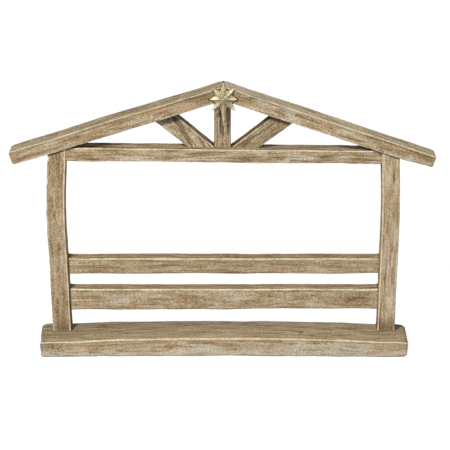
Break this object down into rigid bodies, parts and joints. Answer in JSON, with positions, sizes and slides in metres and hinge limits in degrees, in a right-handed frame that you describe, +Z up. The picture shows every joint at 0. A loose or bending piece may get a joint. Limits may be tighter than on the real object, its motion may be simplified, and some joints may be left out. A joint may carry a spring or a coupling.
{
  "type": "nativity stable",
  "caption": "Open-fronted rustic timber stable for nativity figures: plank base, bowed posts, back rails, tie beam, braced gable and a star at the ridge.",
  "frame": {"origin": "bottom centre of the whole object, on the surface that it stands on", "axes": "+X to the right along the base plank, +Y to the back, +Z up"},
  "size_m": [0.432, 0.057, 0.2833],
  "materials": {
    "hewn_timber": "brown stain, dry-brushed whitewash, rubbed through to pale wood on the edges",
    "star_paint": "antique champagne gold, satin",
    "beech": "bare",
    "steel": "zinc plated"
  },
  "bodies": {
    "root": {"base_plank": "hewn_timber", "left_post": "hewn_timber", "right_post": "hewn_timber", "upper_rail": "hewn_timber", "lower_rail": "hewn_timber", "tie_beam": "hewn_timber", "king_post": "hewn_timber", "left_strut": "hewn_timber", "right_strut": "hewn_timber", "left_rafter": "hewn_timber", "right_rafter": "hewn_timber", "star": "star_paint", "post_screws": "steel", "post_dowels": "beech", "upper_rail_dowels": "beech", "lower_rail_dowels": "beech", "tie_beam_dowels": "beech", "rafter_dowels": "beech", "ridge_dowel": "beech", "king_post_dowels": "beech", "strut_dowels": "beech", "star_pin": "steel"}
  },
  "joints": []
}
